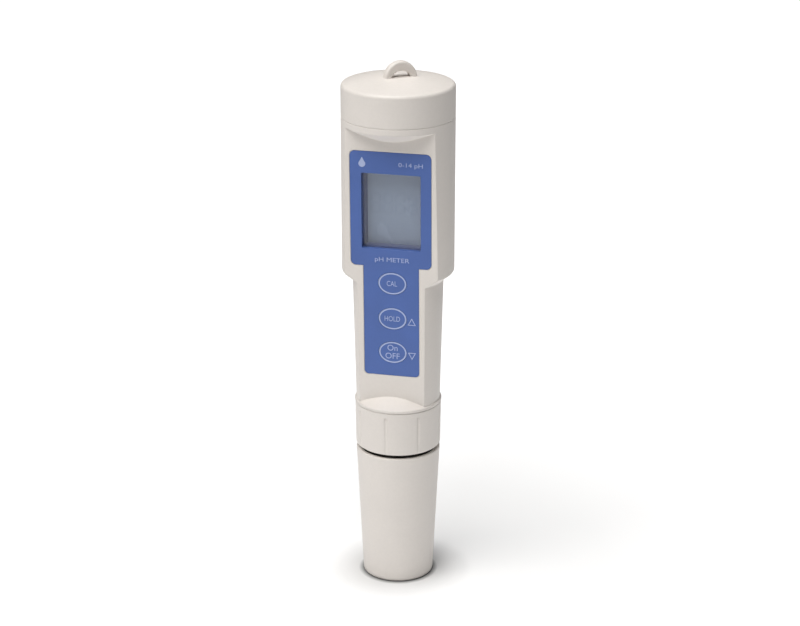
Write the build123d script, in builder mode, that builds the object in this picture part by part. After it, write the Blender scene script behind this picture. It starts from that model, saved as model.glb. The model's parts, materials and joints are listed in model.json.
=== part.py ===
"""Pen-type waterproof pH meter, standing on its protective cap.

Frame: millimetres, +Z up along the pen's axis, origin at the centre of the protective cap's
flat bottom. The display and the keys are on the flat front, which faces -Y.
"""
from build123d import *
import os
from math import cos, radians, sin

os.makedirs("parts", exist_ok=True)

# ---------------------------------------------------------------- driving dimensions
total_height = 193.0
head_radius = 20.0

# levels along the axis
cap_rim_z = 50.0             # rim of the protective cap
collar_bottom_z = 51.4
collar_top_z = 67.65
flange_bottom_z = 67.75
flange_top_z = 68.8
barrel_top_z = 114.6         # the slim barrel ends, the cone up to the head starts
head_bottom_z = 117.6
brow_z = 171.3               # front edge of the brow over the flat face
housing_top_z = 173.6
cap_bottom_z = 173.66         # parting line of the battery cap
dome_edge_z = 185.4
dome_apex_z = 187.45
cap_edge_radius = 1.4        # round edge between the cap's side and its top
neck_top_z = 180.4
spigot_bottom_z = 55.8

# radii
base_radius = 12.75          # protective cap at the bottom
rim_radius = 15.2            # protective cap at the rim
collar_bottom_radius = 15.3
collar_top_radius = 15.55
flange_radius = 15.7
barrel_bottom_radius = 15.1
barrel_top_radius = 16.2
neck_radius = 16.9
neck_bore_radius = 14.8
spigot_radius = 13.0
spigot_bore_radius = 10.7
head_cavity_radius = 17.6
thread_height = 0.4          # how far a thread ring stands proud
thread_half_width = 0.9      # half its width at the root
thread_root = 0.3            # how far its root is sunk into the wall

# the flat front, which leans out slightly towards the top
face_origin_z = 118.0
face_distance = 10.74        # from the axis, at face_origin_z
face_slope = 0.0275
face_wall = 2.2
face = Plane(origin=(0, -face_distance, face_origin_z), x_dir=(1, 0, 0), z_dir=(0, -1, -face_slope))
cone_reach = 24.0            # the cutting cones run from the inside out to this radius
brow_rise = 0.5316           # rise per millimetre of radius, under the brow
shoulder_fall = 0.517        # fall per millimetre of radius, on the lower shoulder
shoulder_point = (9.7, 71.9)

# label film, in the face plane: x across, y up from face_origin_z
film_thickness = 0.3
film_sink = 0.05             # the film lies this far below the face
recess_depth = film_sink + film_thickness
label_wide_half = 14.46
label_narrow_half = 9.96
label_top = 45.4
label_step = 3.5
label_bottom = -37.65
label_corner = 1.9
label_bottom_corner = 1.5
recess_clearance = 0.12

# display, in the face plane
window_centre = (0.1, 23.7)
window_size = (21.2, 27.6)
pane_size = (23.6, 30.2)
frame_front = -0.37          # blue frame between the film and the pane
pane_front = -1.6
pane_thickness = 1.15
bezel_front = -2.8
bezel_back = -5.2
bezel_mouth = (21.5, 27.9)
bezel_throat = (18.9, 26.3)
bezel_flange = (25.4, 32.0)
lcd_size = (24.6, 31.0)
lcd_thickness = 2.2
board_front = -9.2
board_back = -10.8

# keys, in the face plane
key_x = 0.4
key_levels = {"cal": -2.7, "hold": -15.95, "power": -28.8}
key_size = (10.2, 8.16)
key_gap = 0.1
key_well_size = (10.7, 8.7)
key_well_depth = 1.0
actuator_size = (6.6, 5.0)
actuator_hole = (7.2, 5.6)
switch_size = 6.0
switch_top = -7.4
switch_button_radius = 1.5
switch_button_top = -6.65

# battery tray and cells
cell_radius = 5.8
cell_height = 5.4
cell_count = 4
tray_y = 7.4
tray_bottom_z = 148.8
tray_top_z = 176.6
tray_inner_radius = 5.95
tray_outer_radius = 6.75
guide_inner_radius = 6.95
guide_outer_radius = 7.95
cells_bottom_z = 152.6

# electrode module
electrode_flange_radius = 13.2
electrode_flange_z = (53.6, 55.6)
electrode_radius = 11.9
electrode_step_z = 36.0
electrode_plug_radius = 10.3
electrode_plug_top_z = 62.0
guard_radius = 7.4
guard_bottom_z = 14.0
bulb_radius = 3.7
bulb_centre_z = 20.5
stem_radius = 3.0
glass_wall = 0.6


def profile_plane():
    """Plane for turned profiles: x is the radius and y is the height."""
    return Plane.XZ


def face_at(depth):
    """The face plane moved out (or in, when depth is negative)."""
    return face.offset(depth)


# ---------------------------------------------------------------- housing
with BuildPart() as front_relief:
    with BuildSketch(profile_plane()):
        with BuildLine():
            Polyline(
                (6.0, shoulder_point[1] + shoulder_fall * (shoulder_point[0] - 6.0)),
                (cone_reach, shoulder_point[1] - shoulder_fall * (cone_reach - shoulder_point[0])),
                (cone_reach, brow_z + brow_rise * (cone_reach - head_radius)),
                (6.0, brow_z - brow_rise * (head_radius - 6.0)),
                close=True,
            )
        make_face()
    revolve(axis=Axis.Z)
    with BuildSketch(face):
        Rectangle(80, 160)
    extrude(amount=30, mode=Mode.INTERSECT)

cavity_floor_z = 70.4
cavity_ceiling_z = 170.6
front_wall_bottom_z = 68.0   # over this height the cavity stays behind the flat front's wall
front_wall_top_z = 171.5
with BuildPart() as cavity:
    with BuildSketch(profile_plane()):
        with BuildLine():
            Polyline(
                (0, spigot_bottom_z - 1),
                (spigot_bore_radius, spigot_bottom_z - 1),
                (spigot_bore_radius, cavity_floor_z),
                (barrel_bottom_radius - 2.1, cavity_floor_z),
                (barrel_top_radius - 2.3, barrel_top_z + 0.8),
                (head_cavity_radius, head_bottom_z + 1.0),
                (head_cavity_radius, cavity_ceiling_z),
                (neck_bore_radius, cavity_ceiling_z),
                (neck_bore_radius, neck_top_z + 1),
                (0, neck_top_z + 1),
                close=True,
            )
        make_face()
    revolve(axis=Axis.Z)
    with BuildSketch(face_at(-face_wall)):
        with Locations((0, (front_wall_bottom_z + front_wall_top_z) / 2 - face_origin_z)):
            Rectangle(80, front_wall_top_z - front_wall_bottom_z)
    extrude(amount=30, mode=Mode.SUBTRACT)


def label_outline(grow):
    """Keyhole outline of the label film, grown all round."""
    with BuildSketch() as outline:
        with BuildLine():
            Polyline(
                (-label_wide_half - grow, label_top + grow),
                (-label_wide_half - grow, label_step - grow),
                (-label_narrow_half - grow, label_step - grow),
                (-label_narrow_half - grow, label_bottom - grow),
                (label_narrow_half + grow, label_bottom - grow),
                (label_narrow_half + grow, label_step - grow),
                (label_wide_half + grow, label_step - grow),
                (label_wide_half + grow, label_top + grow),
                close=True,
            )
        make_face()
        wide_corners = [v for v in vertices() if abs(v.X) > label_wide_half - 0.1]
        fillet(wide_corners, label_corner)
        lowest = vertices().filter_by_position(Axis.Y, label_bottom - 1, label_bottom + 1)
        fillet(lowest, label_bottom_corner)
    return outline.sketch


with BuildPart() as housing:
    with BuildSketch(profile_plane()):
        with BuildLine():
            Polyline(
                (0, spigot_bottom_z),
                (spigot_radius, spigot_bottom_z),
                (spigot_radius, flange_bottom_z),
                (flange_radius, flange_bottom_z),
                (flange_radius, flange_top_z),
                (barrel_bottom_radius, flange_top_z + shoulder_fall * (flange_radius - barrel_bottom_radius)),
                (barrel_top_radius, barrel_top_z),
                (head_radius, head_bottom_z),
                (head_radius, housing_top_z),
                (neck_radius, housing_top_z),
                (neck_radius, neck_top_z),
                (0, neck_top_z),
                close=True,
            )
        make_face()
        fillet(vertices().filter_by_position(Axis.Y, head_bottom_z - 0.1, head_bottom_z + 0.1), 1.0)
        fillet(vertices().filter_by_position(Axis.Y, barrel_top_z - 0.1, barrel_top_z + 0.1), 0.6)
        rim_corners = vertices().filter_by_position(Axis.X, flange_radius - 0.01, flange_radius + 0.01)
        fillet(rim_corners, 0.3)
        top_corner = [v for v in vertices() if v.X > head_radius - 0.1 and v.Y > housing_top_z - 0.1]
        fillet(top_corner, 0.12)
    revolve(axis=Axis.Z)
    # thread rings on the neck and on the spigot
    neck_rings = [(z, neck_radius) for z in (176.9, 179.0)]
    spigot_rings = [(z, spigot_radius) for z in (57.6, 60.4, 63.2)]
    for ring_z, ring_radius in neck_rings + spigot_rings:
        with BuildSketch(profile_plane()):
            with BuildLine():
                Polyline(
                    (ring_radius - thread_root, ring_z - thread_half_width),
                    (ring_radius + thread_height, ring_z - 0.2),
                    (ring_radius + thread_height, ring_z + 0.2),
                    (ring_radius - thread_root, ring_z + thread_half_width),
                    close=True,
                )
            make_face()
        revolve(axis=Axis.Z)
    add(front_relief.part, mode=Mode.SUBTRACT)
    add(cavity.part, mode=Mode.SUBTRACT)
    # recess for the label film
    with BuildSketch(face_at(-recess_depth)):
        add(label_outline(recess_clearance))
    extrude(amount=2, mode=Mode.SUBTRACT)
    # display opening
    with BuildSketch(face_at(-face_wall - 1)):
        with Locations(window_centre):
            RectangleRounded(pane_size[0] + 0.2, pane_size[1] + 0.2, 0.8)
    extrude(amount=4, mode=Mode.SUBTRACT)
    # a shallow well and a hole under each key
    with BuildSketch(face_at(-key_well_depth)):
        for level in key_levels.values():
            with Locations((key_x, level)):
                Ellipse(key_well_size[0] / 2, key_well_size[1] / 2)
    extrude(amount=2, mode=Mode.SUBTRACT)
    with BuildSketch(face_at(-face_wall - 1)):
        for level in key_levels.values():
            with Locations((key_x, level)):
                Ellipse(actuator_hole[0] / 2, actuator_hole[1] / 2)
    extrude(amount=4, mode=Mode.SUBTRACT)
housing.part.label = "housing"
export_step(housing.part, "parts/housing.step")

# ---------------------------------------------------------------- label film, pane and display
with BuildPart() as label_film:
    with BuildSketch(face_at(-recess_depth)):
        add(label_outline(0))
        with Locations(window_centre):
            RectangleRounded(window_size[0], window_size[1], 0.3, mode=Mode.SUBTRACT)
        for level in key_levels.values():
            with Locations((key_x, level)):
                Ellipse(key_size[0] / 2 + key_gap, key_size[1] / 2 + key_gap, mode=Mode.SUBTRACT)
    extrude(amount=film_thickness)
label_film.part.label = "label_film"
export_step(label_film.part, "parts/label_film.step")

with BuildPart() as window_frame:
    with BuildSketch(face_at(pane_front + 0.02)):
        with Locations(window_centre):
            RectangleRounded(pane_size[0], pane_size[1], 0.7)
            RectangleRounded(window_size[0], window_size[1], 0.3, mode=Mode.SUBTRACT)
    extrude(amount=frame_front - pane_front - 0.02)
window_frame.part.label = "window_frame"
export_step(window_frame.part, "parts/window_frame.step")

with BuildPart() as display_window:
    with BuildSketch(face_at(pane_front - pane_thickness)):
        with Locations(window_centre):
            RectangleRounded(pane_size[0], pane_size[1], 0.7)
    extrude(amount=pane_thickness)
display_window.part.label = "display_window"
export_step(display_window.part, "parts/display_window.step")

with BuildPart() as display_bezel:
    with BuildSketch(face_at(bezel_back)):
        with Locations(window_centre):
            Rectangle(*bezel_flange)
    extrude(amount=bezel_front - bezel_back)
    with BuildSketch(face_at(bezel_back)):
        with Locations(window_centre):
            Rectangle(*bezel_throat)
    with BuildSketch(face_at(bezel_front)):
        with Locations(window_centre):
            Rectangle(*bezel_mouth)
    loft(mode=Mode.SUBTRACT)
display_bezel.part.label = "display_bezel"
export_step(display_bezel.part, "parts/display_bezel.step")

lcd_front = bezel_back - 0.05
with BuildPart() as display_glass:
    with BuildSketch(face_at(lcd_front - lcd_thickness)):
        with Locations(window_centre):
            Rectangle(*lcd_size)
    extrude(amount=lcd_thickness)
    # the back glass is cut back along the lower edge, which leaves the contact ledge
    with BuildSketch(face_at(lcd_front - lcd_thickness)):
        with Locations((window_centre[0], window_centre[1] - lcd_size[1] / 2 + 1.0)):
            Rectangle(lcd_size[0] + 1, 2.0)
    extrude(amount=lcd_thickness / 2, mode=Mode.SUBTRACT)
display_glass.part.label = "display_glass"
export_step(display_glass.part, "parts/display_glass.step")

lcd_back = lcd_front - lcd_thickness
with BuildPart() as display_contact_strips:
    for side in (-1, 1):
        ledge_depth = lcd_thickness / 2 if side < 0 else 0
        with BuildSketch(face_at(board_front)):
            with Locations((window_centre[0], window_centre[1] + side * (lcd_size[1] / 2 - 1.0))):
                Rectangle(lcd_size[0] - 2, 1.6)
        extrude(amount=lcd_back + ledge_depth - board_front)
display_contact_strips.part.label = "display_contact_strips"
export_step(display_contact_strips.part, "parts/display_contact_strips.step")

# ---------------------------------------------------------------- keys
for key_name, level in key_levels.items():
    with BuildPart() as key_top:
        with BuildSketch(face_at(-recess_depth)):
            with Locations((key_x, level)):
                Ellipse(key_size[0] / 2, key_size[1] / 2)
        extrude(amount=film_thickness)
    key_top.part.label = f"{key_name}_key"
    export_step(key_top.part, f"parts/{key_name}_key.step")

    with BuildPart() as actuator:
        with BuildSketch(face_at(-recess_depth)):
            with Locations((key_x, level)):
                Ellipse(actuator_size[0] / 2, actuator_size[1] / 2)
        extrude(amount=-2.6)
        with BuildSketch(face_at(-recess_depth - 2.6)):
            with Locations((key_x, level)):
                Circle(1.9)
        extrude(amount=switch_button_top + recess_depth + 2.6, taper=4)
    actuator.part.label = f"{key_name}_key_actuator"
    export_step(actuator.part, f"parts/{key_name}_key_actuator.step")

    with BuildPart() as switch_button:
        with BuildSketch(face_at(switch_button_top - 1.9)):
            with Locations((key_x, level)):
                Circle(switch_button_radius)
        extrude(amount=1.9)
        chamfer(switch_button.faces().sort_by(Axis.Y)[0].edges(), 0.2)
    switch_button.part.label = f"{key_name}_switch_button"
    export_step(switch_button.part, f"parts/{key_name}_switch_button.step")

    with BuildPart() as switch_base:
        with BuildSketch(face_at(board_front)):
            with Locations((key_x, level)):
                RectangleRounded(switch_size, switch_size, 0.5)
        extrude(amount=switch_top - board_front)
        with BuildSketch(face_at(board_front + 0.05)):
            with Locations((key_x, level)):
                Circle(switch_button_radius + 0.15)
        extrude(amount=4, mode=Mode.SUBTRACT)
    switch_base.part.label = f"{key_name}_switch_base"
    export_step(switch_base.part, f"parts/{key_name}_switch_base.step")

# ---------------------------------------------------------------- main board and what is on it
board_wide_half = 15.4
board_narrow_half = 11.4
board_top = 44.0
board_step = 1.5
board_bottom = -42.6
screw_points = [(-13.2, 41.3), (13.2, 41.3), (-9.3, -37.5), (9.3, -37.5)]
with BuildPart() as main_board:
    with BuildSketch(face_at(board_back)):
        with BuildLine():
            Polyline(
                (-board_wide_half, board_top),
                (-board_wide_half, board_step + 3),
                (-board_narrow_half, board_step - 3),
                (-board_narrow_half, board_bottom),
                (board_narrow_half, board_bottom),
                (board_narrow_half, board_step - 3),
                (board_wide_half, board_step + 3),
                (board_wide_half, board_top),
                close=True,
            )
        make_face()
        with Locations(*screw_points):
            Circle(1.15, mode=Mode.SUBTRACT)
    extrude(amount=board_front - board_back)
main_board.part.label = "main_board"
export_step(main_board.part, "parts/main_board.step")

with BuildPart() as board_screws:
    with BuildSketch(face_at(board_front)):
        with Locations(*screw_points):
            Circle(1.8)
    extrude(amount=1.1)
    with BuildSketch(face_at(board_front)):
        with Locations(*screw_points):
            Circle(0.95)
    extrude(amount=-5.0)
    with BuildSketch(face_at(board_front + 0.6)):
        with Locations(*screw_points):
            Rectangle(2.2, 0.45)
            Rectangle(0.45, 2.2)
    extrude(amount=1, mode=Mode.SUBTRACT)
board_screws.part.label = "board_screws"
export_step(board_screws.part, "parts/board_screws.step")


def chip(centre, size, legs_per_side, height, leg_reach, all_sides=False):
    """A chip on the back of the board: a body with thin legs along its sides."""
    with BuildPart() as package:
        with BuildSketch(face_at(board_back)):
            with Locations(centre):
                Rectangle(*size)
        extrude(amount=-height)
        chamfer(package.faces().sort_by(Axis.Y)[-1].edges(), 0.15)
        pitch = 1.27 if legs_per_side < 6 else 0.8
        with BuildSketch(face_at(board_back)):
            with Locations(centre):
                for side in (-1, 1):
                    with Locations((side * (size[0] / 2 + leg_reach / 2 - 0.05), 0)):
                        with GridLocations(0, pitch, 1, legs_per_side):
                            Rectangle(leg_reach + 0.1, pitch * 0.4)
                    if all_sides:
                        with Locations((0, side * (size[1] / 2 + leg_reach / 2 - 0.05))):
                            with GridLocations(pitch, 0, legs_per_side, 1):
                                Rectangle(pitch * 0.4, leg_reach + 0.1)
        extrude(amount=-0.4)
    return package.part


microcontroller = chip((0, 16.0), (10.0, 10.0), 10, 1.3, 1.0, all_sides=True)
microcontroller.label = "microcontroller"
export_step(microcontroller, "parts/microcontroller.step")

input_amplifier = chip((-2.5, -28.0), (4.0, 5.0), 4, 1.4, 1.0)
input_amplifier.label = "input_amplifier"
export_step(input_amplifier, "parts/input_amplifier.step")

calibration_memory = chip((4.5, -12.0), (4.0, 5.0), 4, 1.4, 1.0)
calibration_memory.label = "calibration_memory"
export_step(calibration_memory, "parts/calibration_memory.step")

with BuildPart() as crystal:
    with BuildSketch(face_at(board_back)):
        with Locations((-8.6, 12.5)):
            SlotOverall(7.0, 2.4, rotation=90)
    extrude(amount=-1.8)
crystal.part.label = "crystal"
export_step(crystal.part, "parts/crystal.step")

capacitor_points = [
    (-9.0, 22.0), (9.0, 21.5), (9.0, 9.0), (-6.0, -6.5),
    (-7.5, -19.0), (6.0, -22.5), (5.0, -30.0),
]
with BuildPart() as chip_capacitors:
    with BuildSketch(face_at(board_back)):
        with Locations(*capacitor_points):
            Rectangle(2.0, 1.25)
    extrude(amount=-1.0)
chip_capacitors.part.label = "chip_capacitors"
export_step(chip_capacitors.part, "parts/chip_capacitors.step")

resistor_points = [
    (-9.0, 5.5), (-3.0, 5.5), (3.5, 5.5), (-1.5, -8.0), (-1.5, -10.5),
    (-1.5, -13.0), (-7.5, -24.0), (0.5, -20.5), (6.5, -26.5),
]
with BuildPart() as chip_resistors:
    with BuildSketch(face_at(board_back)):
        with Locations(*resistor_points):
            Rectangle(1.6, 0.8)
    extrude(amount=-0.5)
chip_resistors.part.label = "chip_resistors"
export_step(chip_resistors.part, "parts/chip_resistors.step")

# ---------------------------------------------------------------- chassis
plate_front = -13.4
plate_back = -14.8
with BuildPart() as chassis:
    with BuildSketch(face_at(plate_back)):
        with Locations((0, -6.0)):
            Rectangle(17.0, 70.0)
    extrude(amount=plate_front - plate_back)
    # bosses and arms under the board's lower screws
    with BuildSketch(face_at(plate_back)):
        with Locations((0, -37.5)):
            RectangleRounded(21.6, 5.0, 1.2)
    extrude(amount=plate_front - plate_back)
    with BuildSketch(face_at(plate_front)):
        with Locations((-9.3, -37.5), (9.3, -37.5)):
            Circle(1.9)
    extrude(amount=board_back - plate_front)
    # cross-bar under the board's upper screws
    with BuildSketch(face_at(board_back)):
        with Locations((0, 41.3)):
            RectangleRounded(31.0, 5.0, 1.2)
    extrude(amount=-2.6)
    # guide for the battery tray
    with BuildSketch(Plane.XY.offset(146.4)):
        with Locations((0, tray_y)):
            Circle(guide_outer_radius)
    extrude(amount=24.0)
    with BuildSketch(Plane.XY.offset(147.6)):
        with Locations((0, tray_y)):
            Circle(guide_inner_radius)
    extrude(amount=30.0, mode=Mode.SUBTRACT)
    # web that joins the plate to the guide
    with BuildSketch(Plane.XY.offset(141.0)):
        with Locations((0, 4.6)):
            Rectangle(12.0, 4.0)
    extrude(amount=6.0)
    # screw holes
    with BuildSketch(face_at(board_back + 0.5)):
        with Locations(*screw_points):
            Circle(1.0)
    extrude(amount=-3.9, mode=Mode.SUBTRACT)
    # slots for the battery terminals in the guide's floor
    with BuildSketch(Plane.XY.offset(140.0)):
        with Locations((-3.4, tray_y + 2.0), (3.4, tray_y + 2.0)):
            Rectangle(2.4, 4.4)
    extrude(amount=10.0, mode=Mode.SUBTRACT)
chassis.part.label = "chassis"
export_step(chassis.part, "parts/chassis.step")

terminal_thickness = 0.3
with BuildPart() as battery_terminals:
    for side in (-1, 1):
        with BuildSketch(Plane.YZ.offset(side * 3.4)):
            with BuildLine():
                Polyline((5.4, 134.0), (9.4, 138.0), (9.4, 145.4), (10.9, 147.4), (8.4, 148.7))
                offset(amount=terminal_thickness / 2)
            make_face()
        extrude(amount=1.0, both=True)
battery_terminals.part.label = "battery_terminals"
export_step(battery_terminals.part, "parts/battery_terminals.step")

# ---------------------------------------------------------------- battery tray, cells and contacts
with BuildPart() as battery_tray:
    with BuildSketch(Plane.XY.offset(tray_bottom_z)):
        with Locations((0, tray_y)):
            Circle(tray_outer_radius)
    extrude(amount=tray_top_z - tray_bottom_z)
    with BuildSketch(Plane.XY.offset(tray_bottom_z + 1.2)):
        with Locations((0, tray_y)):
            Circle(tray_inner_radius)
    extrude(amount=tray_top_z - tray_bottom_z - 2.4, mode=Mode.SUBTRACT)
    # the back of the tray is open, so that the cells can be laid in
    with BuildSketch(Plane.XY.offset(tray_bottom_z + 1.2)):
        with Locations((0, tray_y + 5.2)):
            Rectangle(20, 8.0)
    extrude(amount=tray_top_z - tray_bottom_z - 2.4, mode=Mode.SUBTRACT)
    # pull tab
    with BuildSketch(Plane.XY.offset(tray_top_z)):
        with Locations((0, tray_y - 4.4)):
            RectangleRounded(5.0, 1.4, 0.5)
    extrude(amount=3.2)
    # two slots for the contact feet in the floor
    with BuildSketch(Plane.XY.offset(tray_bottom_z - 1)):
        with Locations((-3.4, tray_y + 2.0), (3.4, tray_y + 2.0)):
            Rectangle(2.2, 4.2)
    extrude(amount=3.0, mode=Mode.SUBTRACT)
battery_tray.part.label = "battery_tray"
export_step(battery_tray.part, "parts/battery_tray.step")

with BuildPart() as button_cells:
    for index in range(cell_count):
        cell_z = cells_bottom_z + index * (cell_height + 0.02)
        with BuildSketch(Plane.XY.offset(cell_z)):
            with Locations((0, tray_y)):
                Circle(cell_radius - 0.9)
        extrude(amount=0.6)
        with BuildSketch(Plane.XY.offset(cell_z + 0.6)):
            with Locations((0, tray_y)):
                Circle(cell_radius)
        extrude(amount=cell_height - 0.6)
button_cells.part.label = "button_cells"
export_step(button_cells.part, "parts/button_cells.step")

contact_floor_z = tray_bottom_z + 1.2
with BuildPart() as battery_contacts:
    # lower plate with one foot through the floor
    with BuildSketch(Plane.XY.offset(contact_floor_z)):
        with Locations((0, tray_y)):
            Circle(5.0)
    extrude(amount=0.3)
    with BuildSketch(Plane.XY.offset(contact_floor_z - 1.1)):
        with Locations((-3.4, tray_y + 2.0)):
            Rectangle(1.6, 3.0)
    extrude(amount=1.2)
    # upper plate, under the tray's top wall
    with BuildSketch(Plane.XY.offset(tray_top_z - 1.5)):
        with Locations((0, tray_y)):
            Circle(5.0)
    extrude(amount=0.3)
    # return foot of the upper plate
    with BuildSketch(Plane.XY.offset(contact_floor_z - 1.1)):
        with Locations((3.4, tray_y + 2.0)):
            Rectangle(1.6, 3.0)
    extrude(amount=0.9)
battery_contacts.part.label = "battery_contacts"
export_step(battery_contacts.part, "parts/battery_contacts.step")

spring_bottom_z = contact_floor_z + 0.3
with BuildPart() as battery_spring:
    spring_pitch = 0.95
    spring_turns = 2
    wire_radius = 0.22
    with BuildLine() as spring_line:
        spring_coil = Helix(
            pitch=spring_pitch,
            height=spring_pitch * spring_turns,
            radius=3.4,
            center=(0, tray_y, spring_bottom_z + wire_radius + 0.03),
        )
    with BuildSketch(Plane(origin=spring_coil @ 0, z_dir=spring_coil % 0)):
        Circle(wire_radius)
    sweep(is_frenet=True)
battery_spring.part.label = "battery_spring"
export_step(battery_spring.part, "parts/battery_spring.step")

# ---------------------------------------------------------------- battery cap
loop_outer_radius = 5.95
loop_hole_half_width = 3.5
loop_hole_height = 2.5
loop_thickness = 3.0
loop_angle = 36.0
loop_offset = 0.6
loop_centre_z = total_height - loop_outer_radius
cap_ceiling_z = 182.6
loop_direction = (cos(radians(loop_angle)), sin(radians(loop_angle)), 0)
loop_plane = Plane(
    origin=(loop_offset, 0, loop_centre_z),
    x_dir=loop_direction,
    z_dir=(loop_direction[1], -loop_direction[0], 0),
)
with BuildPart() as battery_cap:
    with BuildSketch(loop_plane):
        Circle(loop_outer_radius)
        Ellipse(loop_hole_half_width, loop_hole_height, mode=Mode.SUBTRACT)
        # the foot is cut off inside the dome
        with Locations((0, -5.0)):
            Rectangle(14, 7.0, mode=Mode.SUBTRACT)
    extrude(amount=loop_thickness / 2, both=True)
    fillet(battery_cap.edges().filter_by(GeomType.CIRCLE), 0.8)
    fillet(battery_cap.edges().filter_by(GeomType.ELLIPSE), 0.6)
    with BuildSketch(profile_plane()):
        with BuildLine():
            side_top = (head_radius, dome_edge_z - cap_edge_radius)
            dome_start = (head_radius - cap_edge_radius, dome_edge_z)
            Polyline((0, dome_apex_z), (0, cap_bottom_z), (head_radius, cap_bottom_z), side_top)
            RadiusArc(side_top, dome_start, -cap_edge_radius)
            ThreePointArc(
                dome_start,
                (dome_start[0] / 2, dome_edge_z + 0.75 * (dome_apex_z - dome_edge_z)),
                (0, dome_apex_z),
            )
        make_face()
        outer_lip = [v for v in vertices() if v.X > head_radius - 0.1 and v.Y < cap_bottom_z + 0.1]
        fillet(outer_lip, 0.1)
    revolve(axis=Axis.Z)
    with BuildSketch(profile_plane()):
        with BuildLine():
            Polyline(
                (0, cap_bottom_z - 1),
                (18.6, cap_bottom_z - 1),
                (18.6, 176.0),
                (17.75, 176.0),
                (17.75, 177.6),
                (17.45, 177.8),
                (17.45, 178.1),
                (17.75, 178.3),
                (17.75, cap_ceiling_z),
                (0, cap_ceiling_z),
                close=True,
            )
        make_face()
    revolve(axis=Axis.Z, mode=Mode.SUBTRACT)
battery_cap.part.label = "battery_cap"
export_step(battery_cap.part, "parts/battery_cap.step")


def seal_ring(centre_radius, wire_radius, height):
    """A rubber ring of round section around the axis."""
    with BuildPart() as ring:
        with BuildSketch(profile_plane()):
            with Locations((centre_radius, height)):
                Circle(wire_radius)
        revolve(axis=Axis.Z)
    return ring.part


battery_cap_seal = seal_ring(18.0, 0.5, housing_top_z + 0.55)
battery_cap_seal.label = "battery_cap_seal"
export_step(battery_cap_seal, "parts/battery_cap_seal.step")

# ---------------------------------------------------------------- electrode socket in the housing
socket_y = 0.4
with BuildPart() as electrode_socket:
    with BuildSketch(Plane.XY.offset(65.5)):
        with Locations((0, socket_y)):
            RectangleRounded(16.0, 7.6, 0.8)
    extrude(amount=9.4)
    with BuildSketch(Plane.XY.offset(64.5)):
        with Locations((0, socket_y)):
            Rectangle(12.8, 2.6)
    extrude(amount=8.7, mode=Mode.SUBTRACT)
electrode_socket.part.label = "electrode_socket"
export_step(electrode_socket.part, "parts/electrode_socket.step")

with BuildPart() as socket_contacts:
    with BuildSketch(Plane.XY.offset(66.2)):
        with Locations((0, socket_y + 1.1)):
            with GridLocations(2.0, 0, 6, 1):
                Rectangle(1.0, 0.3)
    extrude(amount=6.6)
socket_contacts.part.label = "socket_contacts"
export_step(socket_contacts.part, "parts/socket_contacts.step")

# ---------------------------------------------------------------- collar nut
groove_count = 8
groove_start = -93.4
groove_radius = 0.9
groove_depth = 0.4
groove_top_z = 65.7
with BuildPart() as collar_nut:
    with BuildSketch(profile_plane()):
        with BuildLine():
            Polyline(
                (12.3, collar_bottom_z),
                (collar_bottom_radius, collar_bottom_z),
                (collar_top_radius, collar_top_z),
                (13.75, collar_top_z),
                (13.75, 62.2),
                (13.55, 62.0),
                (13.55, 61.6),
                (13.75, 61.4),
                (13.75, 59.4),
                (13.55, 59.2),
                (13.55, 58.8),
                (13.75, 58.6),
                (13.75, electrode_flange_z[0] - 0.1),
                (12.3, electrode_flange_z[0] - 0.1),
                close=True,
            )
        make_face()
        lower_corner = [v for v in vertices() if v.X > 15 and v.Y < collar_bottom_z + 0.1]
        fillet(lower_corner, 0.6)
        upper_corner = [v for v in vertices() if v.X > 15 and v.Y > collar_top_z - 0.1]
        fillet(upper_corner, 0.15)
    revolve(axis=Axis.Z)
    with BuildSketch(Plane.XY.offset(collar_bottom_z - 1)):
        groove_ring = collar_top_radius + groove_radius - groove_depth
        with PolarLocations(groove_ring, groove_count, start_angle=groove_start):
            Circle(groove_radius)
    extrude(amount=groove_top_z - collar_bottom_z + 1, mode=Mode.SUBTRACT)
collar_nut.part.label = "collar_nut"
export_step(collar_nut.part, "parts/collar_nut.step")

# ---------------------------------------------------------------- electrode module
partition_z = 34.4
sensor_point = (5.0, 0)
junction_point = (-4.9, 0)
with BuildPart() as electrode_body:
    with BuildSketch(profile_plane()):
        with BuildLine():
            Polyline(
                (0, electrode_step_z),
                (electrode_radius - 0.8, electrode_step_z),
                (electrode_radius, electrode_step_z + 0.8),
                (electrode_radius, 43.1),
                (electrode_radius - 0.5, 43.1),
                (electrode_radius - 0.5, 44.9),
                (electrode_radius, 44.9),
                (electrode_radius, electrode_flange_z[0]),
                (electrode_flange_radius, electrode_flange_z[0]),
                (electrode_flange_radius, electrode_flange_z[1]),
                (electrode_plug_radius, electrode_flange_z[1]),
                (electrode_plug_radius, 58.0),
                (electrode_plug_radius - 0.6, 58.0),
                (electrode_plug_radius - 0.6, 59.2),
                (electrode_plug_radius, 59.2),
                (electrode_plug_radius, electrode_plug_top_z - 0.6),
                (electrode_plug_radius - 0.6, electrode_plug_top_z),
                (0, electrode_plug_top_z),
                close=True,
            )
        make_face()
    revolve(axis=Axis.Z)
    # chamber for the reference gel and the glass stem
    with BuildSketch(Plane.XY.offset(electrode_step_z - 1)):
        Circle(stem_radius + 0.1)
        with Locations(sensor_point):
            Circle(1.6)
        with Locations(junction_point):
            Circle(1.1)
    extrude(amount=16.0, mode=Mode.SUBTRACT)
electrode_body.part.label = "electrode_body"
export_step(electrode_body.part, "parts/electrode_body.step")

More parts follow.
